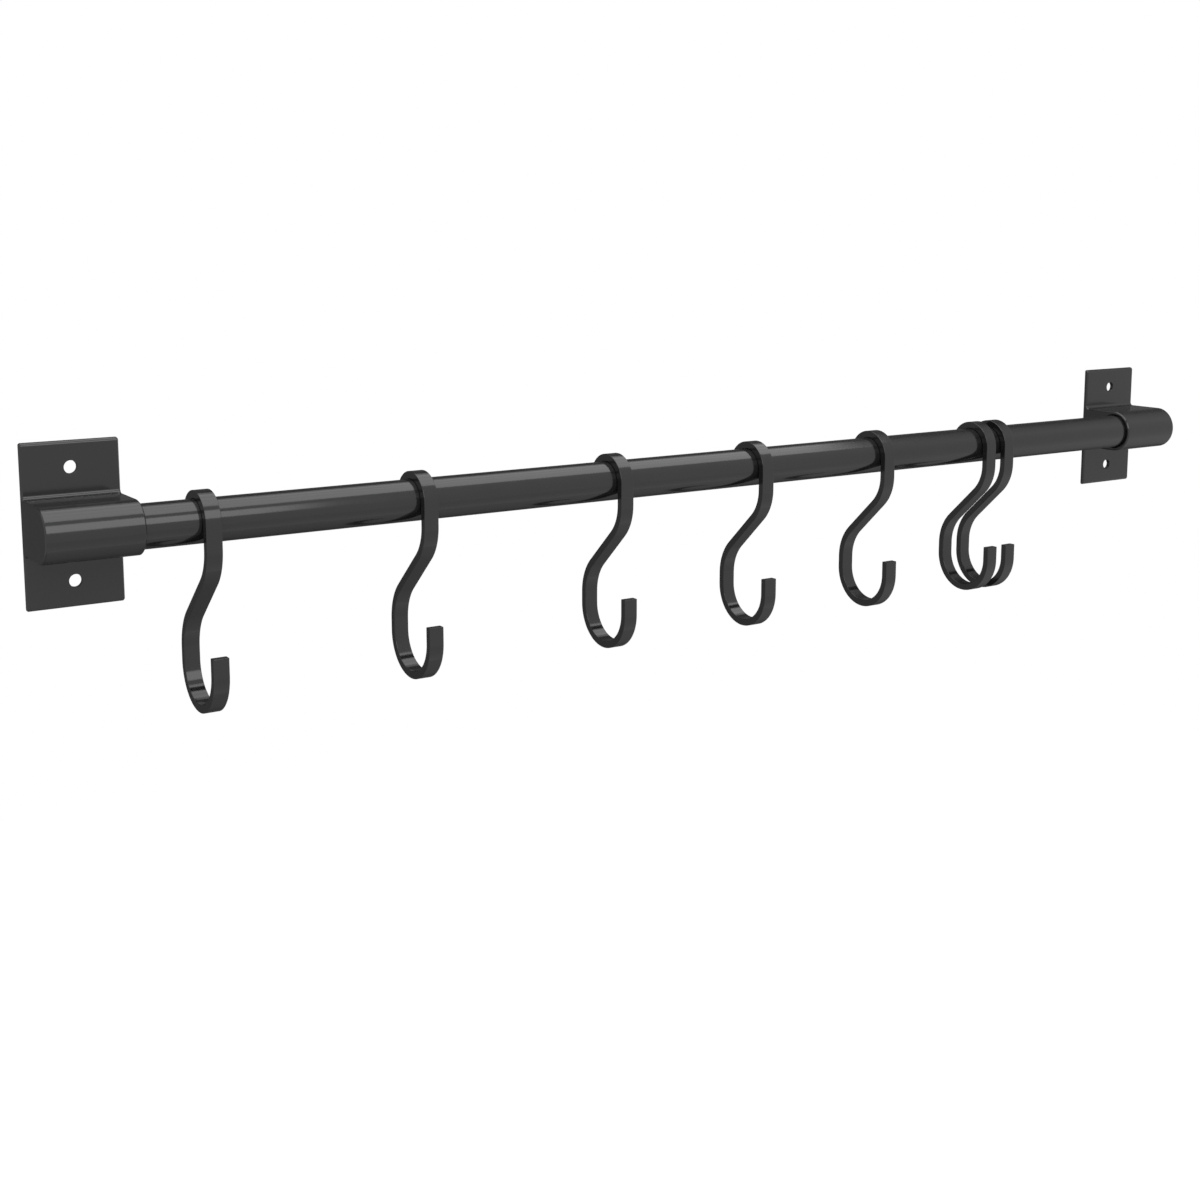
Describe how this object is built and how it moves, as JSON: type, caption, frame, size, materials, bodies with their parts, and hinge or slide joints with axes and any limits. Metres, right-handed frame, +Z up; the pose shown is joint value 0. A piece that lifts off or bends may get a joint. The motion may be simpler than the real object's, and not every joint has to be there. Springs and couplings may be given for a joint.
{
  "type": "kitchen utensil rail",
  "caption": "Wall-mounted utensil rail: a round tube held in cast screw-on end brackets, with flat-bar S-hooks that slide along it.",
  "frame": {"origin": "centre of the rectangle of wall screw holes, on the wall plane at the backs of the plates", "axes": "+X along the rail to the viewer's right, +Y into the wall, +Z up"},
  "size_m": [0.58, 0.0343, 0.1013],
  "materials": {
    "tube_paint": "satin black paint",
    "bracket_paint": "satin black paint",
    "hook_paint": "satin black paint"
  },
  "bodies": {
    "rail": {"rail_tube": "tube_paint", "left_bracket": "bracket_paint", "right_bracket": "bracket_paint"},
    "hook_1": {"hook_1": "hook_paint"},
    "hook_2": {"hook_2": "hook_paint"},
    "hook_3": {"hook_3": "hook_paint"},
    "hook_4": {"hook_4": "hook_paint"},
    "hook_5": {"hook_5": "hook_paint"},
    "hook_6": {"hook_6": "hook_paint"},
    "hook_7": {"hook_7": "hook_paint"}
  },
  "joints": [
    {"name": "hook_1_slide", "type": "slide", "parent": "rail", "child": "hook_1", "axis": [1, 0, 0], "range_m": [-0.0199, 0.0399]},
    {"name": "hook_2_slide", "type": "slide", "parent": "rail", "child": "hook_2", "axis": [1, 0, 0], "range_m": [-0.0399, 0.0419]},
    {"name": "hook_3_slide", "type": "slide", "parent": "rail", "child": "hook_3", "axis": [1, 0, 0], "range_m": [-0.0419, 0.0336]},
    {"name": "hook_4_slide", "type": "slide", "parent": "rail", "child": "hook_4", "axis": [1, 0, 0], "range_m": [-0.0336, 0.0321]},
    {"name": "hook_5_slide", "type": "slide", "parent": "rail", "child": "hook_5", "axis": [1, 0, 0], "range_m": [-0.0321, 0.0292]},
    {"name": "hook_6_slide", "type": "slide", "parent": "rail", "child": "hook_6", "axis": [1, 0, 0], "range_m": [-0.0292, 0.0027]},
    {"name": "hook_7_slide", "type": "slide", "parent": "rail", "child": "hook_7", "axis": [1, 0, 0], "range_m": [-0.0027, 0.0841]}
  ]
}
